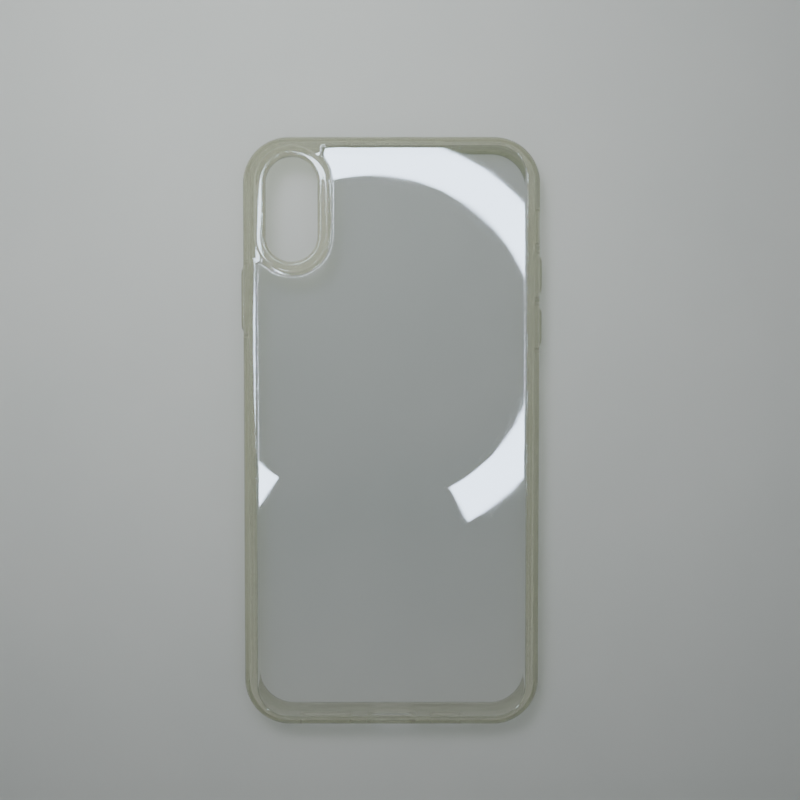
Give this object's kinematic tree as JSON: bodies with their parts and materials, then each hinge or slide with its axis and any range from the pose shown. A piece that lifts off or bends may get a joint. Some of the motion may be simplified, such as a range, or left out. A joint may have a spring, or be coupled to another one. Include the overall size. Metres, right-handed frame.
{
  "type": "phone case",
  "caption": "Clear hybrid phone case: rigid clear back plate in a translucent soft bumper, raised camera guard, button covers, switch, port and speaker cutouts.",
  "frame": {"origin": "centre of the case's footprint, on the plane that the screen lip rests on, with the case lying back-up", "axes": "+Z out of the back plate, +Y towards the camera end, +X towards the volume buttons; the side button is on -X and the charging port on -Y"},
  "size_m": [0.0824, 0.1608, 0.0111],
  "materials": {
    "clear_plate": "clear polycarbonate, polished, glossy",
    "soft_bumper": "translucent TPU, slightly yellowed, smooth",
    "soft_lip": "translucent TPU, slightly yellowed, smooth",
    "soft_guard": "translucent TPU, glossy top",
    "button_cover": "translucent TPU, smooth",
    "button_web": "thin translucent TPU skin"
  },
  "bodies": {
    "case_body": {"back_plate": "clear_plate", "bumper_frame": "soft_bumper", "screen_lip": "soft_lip", "camera_guard": "soft_guard", "side_button_web": "button_web", "volume_up_web": "button_web", "volume_down_web": "button_web"},
    "side_button": {"side_button": "button_cover"},
    "volume_up_button": {"volume_up_button": "button_cover"},
    "volume_down_button": {"volume_down_button": "button_cover"}
  },
  "joints": [
    {"name": "side_button_press", "type": "slide", "parent": "case_body", "child": "side_button", "axis": [1, 0, 0], "range_m": [0, 0.0004], "stiffness_N_per_m": 2000},
    {"name": "volume_up_press", "type": "slide", "parent": "case_body", "child": "volume_up_button", "axis": [-1, 0, 0], "range_m": [0, 0.0004], "stiffness_N_per_m": 2000},
    {"name": "volume_down_press", "type": "slide", "parent": "case_body", "child": "volume_down_button", "axis": [-1, 0, 0], "range_m": [0, 0.0004], "stiffness_N_per_m": 2000}
  ]
}
